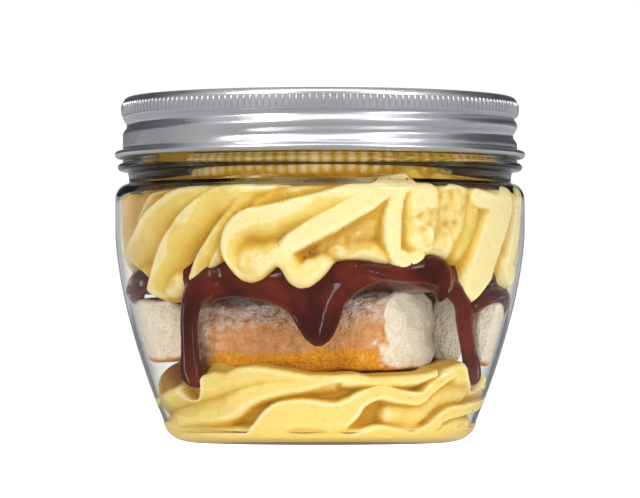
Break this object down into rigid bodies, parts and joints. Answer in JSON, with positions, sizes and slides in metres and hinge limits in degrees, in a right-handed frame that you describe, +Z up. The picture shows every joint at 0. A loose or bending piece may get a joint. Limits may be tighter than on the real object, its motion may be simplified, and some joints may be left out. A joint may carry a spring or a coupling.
{
  "type": "layered banana split in a lidded clear jar",
  "caption": "Layered banana split dessert: piped banana cream, sponge fingers and chocolate sauce in a wide clear plastic jar shut by an aluminium screw lid.",
  "frame": {"origin": "centre of the resting ring under the jar, on the surface it stands on", "axes": "+Z up along the jar's axis towards the lid, -Y towards the shown front of the layers, +X to the right seen from the front"},
  "size_m": [0.092, 0.092, 0.0772],
  "materials": {
    "clear_plastic": "clear gloss",
    "aluminium": "satin",
    "cream": "soft",
    "chocolate": "gloss",
    "sponge": "matt"
  },
  "bodies": {
    "root": {"chocolate_sauce": "chocolate", "cream_lower": "cream", "cream_upper": "cream", "jar": "clear_plastic", "lid": "aluminium", "sponge_back": "sponge", "sponge_front": "sponge", "sponge_inner_right": "sponge", "sponge_left": "sponge", "sponge_right": "sponge"}
  },
  "joints": []
}
